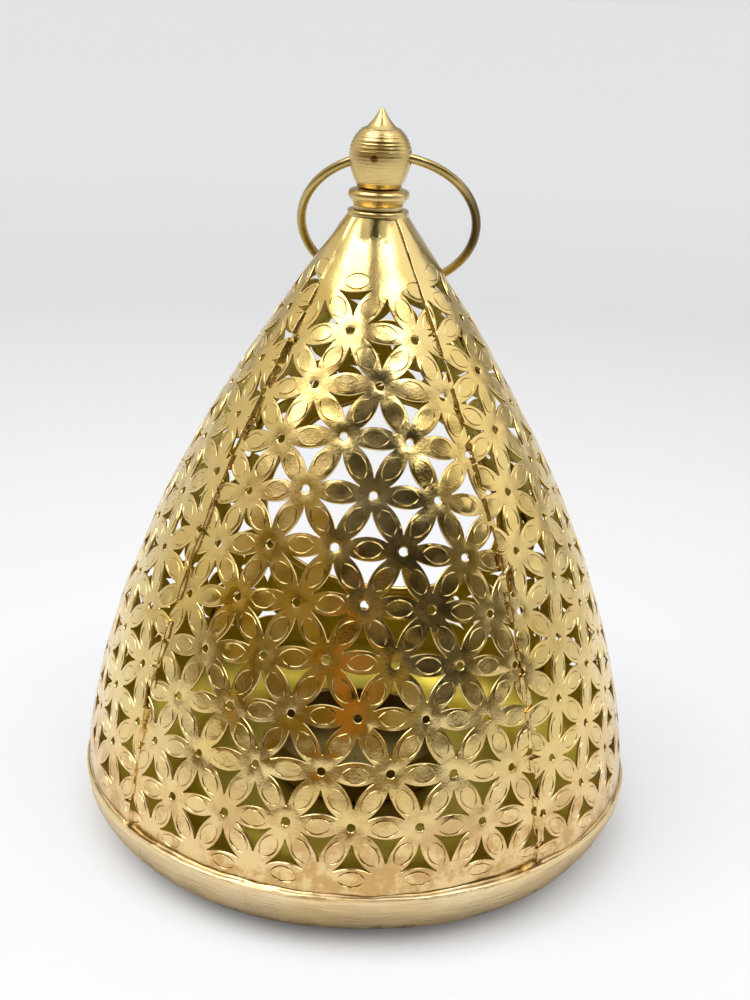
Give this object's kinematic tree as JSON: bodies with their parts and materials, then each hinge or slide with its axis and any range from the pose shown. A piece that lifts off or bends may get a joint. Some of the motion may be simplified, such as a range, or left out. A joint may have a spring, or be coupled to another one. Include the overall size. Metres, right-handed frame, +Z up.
{
  "type": "candle lantern",
  "caption": "Beehive candle lantern in pierced brass sheet with a flower lattice, a spun base with a candle cup, a round hand opening at the back, a ball finial and a swinging ring.",
  "frame": {"origin": "centre of the base's underside, on the plane that the lantern stands on", "axes": "+Z up along the lantern's axis to the finial's tip, -Y out through the middle of the front gore, +Y out through the hand opening in the back gore, +X to the right as the picture shows it"},
  "size_m": [0.202, 0.202, 0.2566],
  "materials": {
    "polished_brass": "polished",
    "brushed_brass": "brushed round the axis",
    "browned_brass": "dark, browned by heat",
    "wire_brass": "drawn wire, polished",
    "fastener_brass": "plain machined"
  },
  "bodies": {
    "lantern": {"base_pan": "brushed_brass", "candle_cup": "browned_brass", "gore_front": "polished_brass", "gore_right": "polished_brass", "gore_back": "polished_brass", "gore_left": "polished_brass", "opening_rim": "polished_brass", "crown_cap": "polished_brass", "neck_collar": "polished_brass", "finial": "polished_brass", "finial_stud": "fastener_brass", "crown_washer": "fastener_brass", "crown_nut": "fastener_brass"},
    "ring": {"ring_handle": "wire_brass"}
  },
  "joints": [
    {"name": "ring_swing", "type": "hinge", "parent": "lantern", "child": "ring", "pos_m": [0, 0, 0.2406], "axis": [0.9958, 0, 0.0915], "range_deg": [0, 291]}
  ]
}
